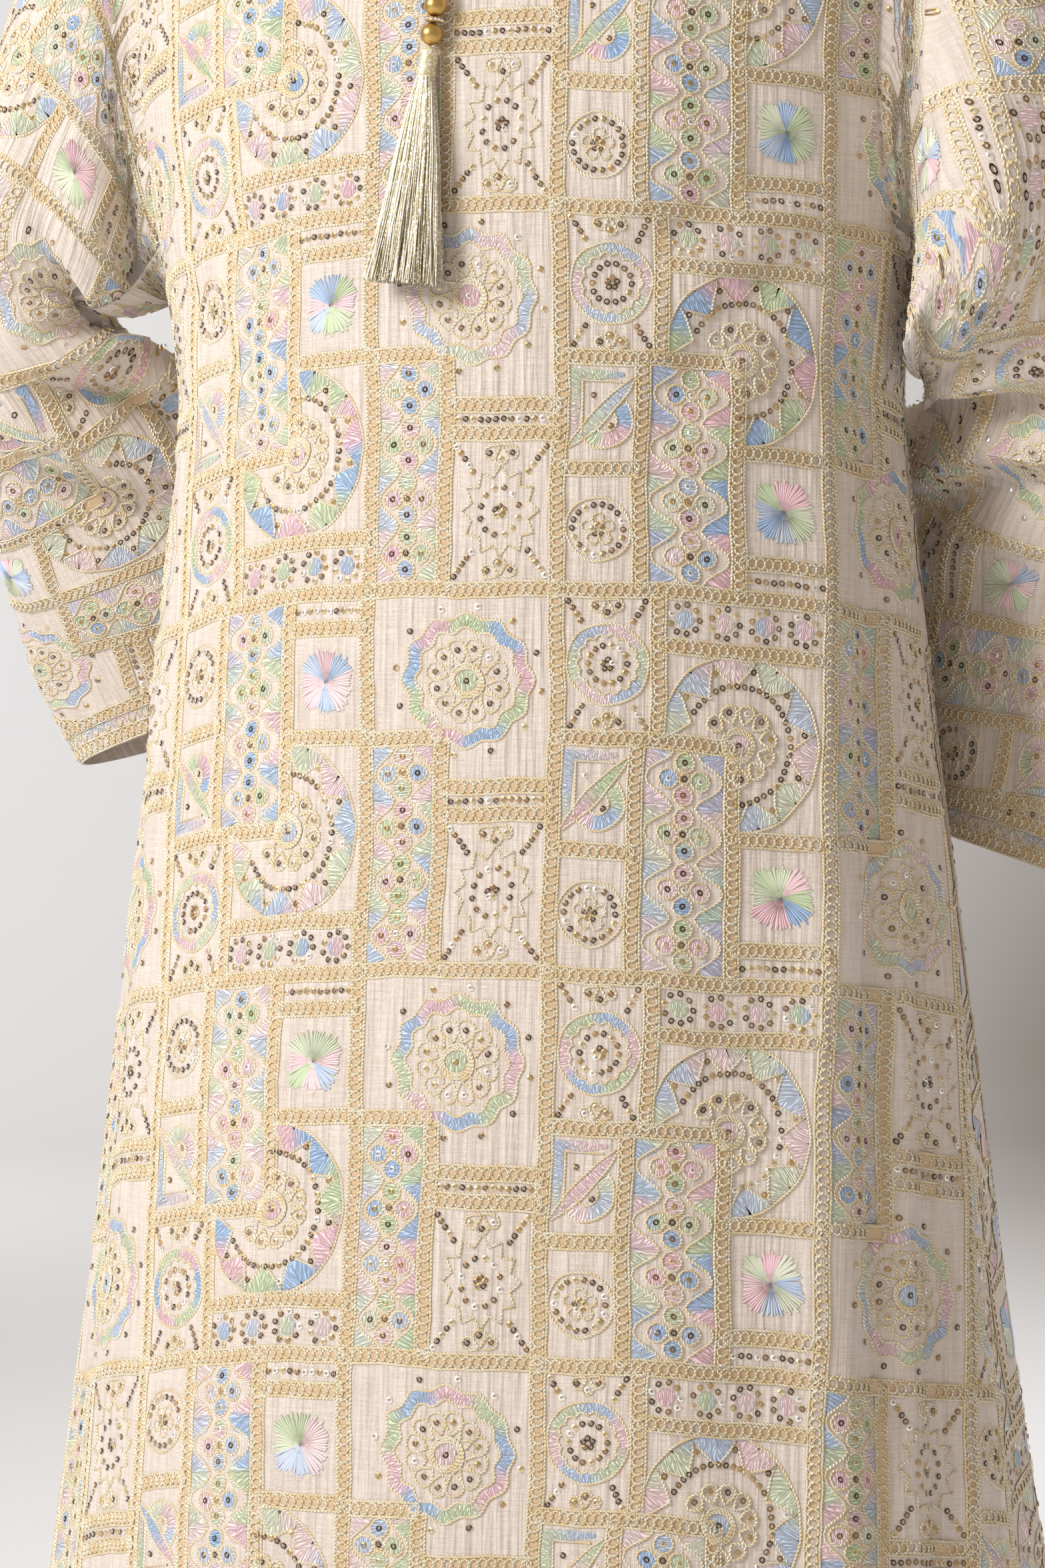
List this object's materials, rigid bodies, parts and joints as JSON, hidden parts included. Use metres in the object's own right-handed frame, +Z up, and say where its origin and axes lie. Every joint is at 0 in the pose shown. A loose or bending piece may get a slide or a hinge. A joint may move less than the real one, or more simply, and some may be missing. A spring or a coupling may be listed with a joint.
{
  "type": "kaftan",
  "caption": "Long A-line embroidered kaftan with wide set-in sleeves and a neck tassel, held in its worn form.",
  "frame": {"origin": "middle of the shoulder line, where the wearer's shoulders carry the garment", "axes": "+Z up, -Y towards the front, +X towards the wearer's left"},
  "size_m": [0.7968, 0.4447, 1.3199],
  "materials": {
    "cloth": "fine plain weave, pale beige, embroidered with gold-cream cord, satin stitch and sequins",
    "cord": "twisted gold-cream thread",
    "gold": "satin gold plating",
    "tassel": "fine metallic thread"
  },
  "bodies": {
    "root": {"front_panel": "cloth", "back_panel": "cloth", "sleeve_left": "cloth", "sleeve_right": "cloth", "tassel_cord": "cord", "ring_upper": "gold", "bead_upper": "gold", "ring_lower": "gold", "bead_lower": "gold", "tassel": "tassel"}
  },
  "joints": []
}
